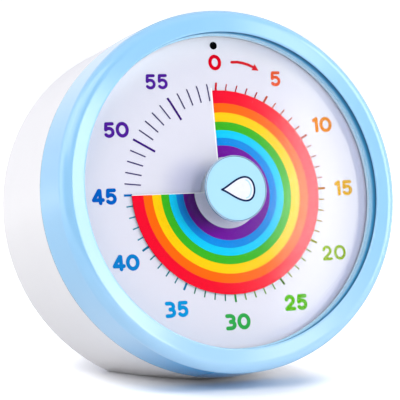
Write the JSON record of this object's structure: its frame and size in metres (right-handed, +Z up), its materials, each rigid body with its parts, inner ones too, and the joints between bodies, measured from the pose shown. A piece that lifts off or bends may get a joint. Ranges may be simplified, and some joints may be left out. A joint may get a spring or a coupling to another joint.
{
  "type": "visual countdown timer",
  "caption": "Round leaning desk timer: a rainbow film winds through a slit in the dial as the knob turns, and shows the time left.",
  "frame": {"origin": "middle of the footprint of the whole timer, on the table under its flat", "axes": "+X to the right as seen from the front, +Y to the back, +Z up; the dial faces -Y and leans back 12.3 degrees"},
  "size_m": [0.1, 0.0687, 0.1019],
  "materials": {
    "pale_blue_plastic": "moulded, satin gloss",
    "white_plastic": "moulded, satin gloss",
    "clear_plastic": "clear, polished",
    "dial_card": "printed, matt",
    "printed_film": "printed rainbow bands",
    "knob_plastic": "moulded, satin gloss",
    "knob_print": "printed inlay",
    "natural_nylon": "moulded",
    "grey_plastic": "moulded",
    "black_plastic": "moulded",
    "steel": "plated",
    "soft_iron": "punched sheet",
    "magnet": "sintered",
    "enamelled_copper": "wound enamelled wire",
    "nickelled_brass": "nickel plated",
    "board_green": "solder resist",
    "cell_wrap": "printed wrap",
    "red_wire": "insulated",
    "black_wire": "insulated",
    "white_wire": "insulated"
  },
  "bodies": {
    "case": {"bezel": "pale_blue_plastic", "lens": "clear_plastic", "dial": "dial_card", "dial_carrier": "white_plastic", "rear_case": "white_plastic", "battery": "cell_wrap", "battery_plus": "nickelled_brass", "battery_spring": "nickelled_brass", "main_board": "board_green", "board_screw_1": "steel", "board_screw_2": "steel", "buzzer": "black_plastic", "switch_body": "grey_plastic", "quartz_chip": "black_plastic", "crystal": "steel", "battery_lead_plus": "red_wire", "battery_lead_minus": "black_wire", "motor_lead_1": "white_wire", "motor_lead_2": "white_wire", "case_screw_1": "steel", "case_screw_2": "steel", "case_screw_3": "steel", "case_screw_4": "steel", "movement_box": "grey_plastic", "movement_lid": "grey_plastic", "movement_screw_1": "steel", "movement_screw_2": "steel", "movement_screw_3": "steel", "movement_screw_4": "steel", "stator": "soft_iron", "coil_core": "soft_iron", "coil": "enamelled_copper", "alarm_leaf_1": "nickelled_brass", "alarm_leaf_2": "nickelled_brass"},
    "knob": {"knob_cap": "knob_plastic", "knob_disc": "knob_print", "film_hub": "natural_nylon", "arbor": "steel", "centre_wheel": "natural_nylon", "clutch_spring": "steel", "alarm_cam": "natural_nylon"},
    "film": {"timer_film": "printed_film"},
    "third": {"third_wheel": "natural_nylon"},
    "second": {"second_wheel": "natural_nylon"},
    "motor_rotor": {"rotor": "magnet"},
    "slider": {"volume_slider": "grey_plastic"},
    "door": {"battery_door": "white_plastic"}
  },
  "joints": [
    {"name": "knob_turn", "type": "hinge", "parent": "case", "child": "knob", "pos_m": [0, -0.01854, 0.05265], "axis": [0, -0.977, 0.2132], "range_deg": [-90, 270]},
    {"name": "film_slide", "type": "slide", "parent": "knob", "child": "film", "axis": [0, -0.977, 0.2132], "range_m": [-0.00091, 0.00031]},
    {"name": "third_wheel_turn", "type": "hinge", "parent": "case", "child": "third", "pos_m": [0.0084, -0.00625, 0.06486], "axis": [0, -0.977, 0.2132], "continuous": true},
    {"name": "second_wheel_turn", "type": "hinge", "parent": "case", "child": "second", "pos_m": [-0.00342, -0.00346, 0.06639], "axis": [0, -0.977, 0.2132], "continuous": true},
    {"name": "rotor_turn", "type": "hinge", "parent": "case", "child": "motor_rotor", "pos_m": [-0.01374, -0.00217, 0.05871], "axis": [0, -0.977, 0.2132], "continuous": true},
    {"name": "volume_slide", "type": "slide", "parent": "case", "child": "slider", "axis": [1, 0, 0], "range_m": [-0.002, 0.002]},
    {"name": "battery_door_tilt", "type": "hinge", "parent": "case", "child": "door", "pos_m": [-0.0285, 0.02054, 0.02724], "axis": [0, 0.2132, 0.977], "range_deg": [0, 75]}
  ],
  "couplings": [
    {"joint": "film_slide", "follows": "knob_turn", "m_per_rad": -0.00019099},
    {"joint": "third_wheel_turn", "follows": "knob_turn", "ratio": -6},
    {"joint": "second_wheel_turn", "follows": "knob_turn", "ratio": 30},
    {"joint": "rotor_turn", "follows": "knob_turn", "ratio": -180}
  ]
}
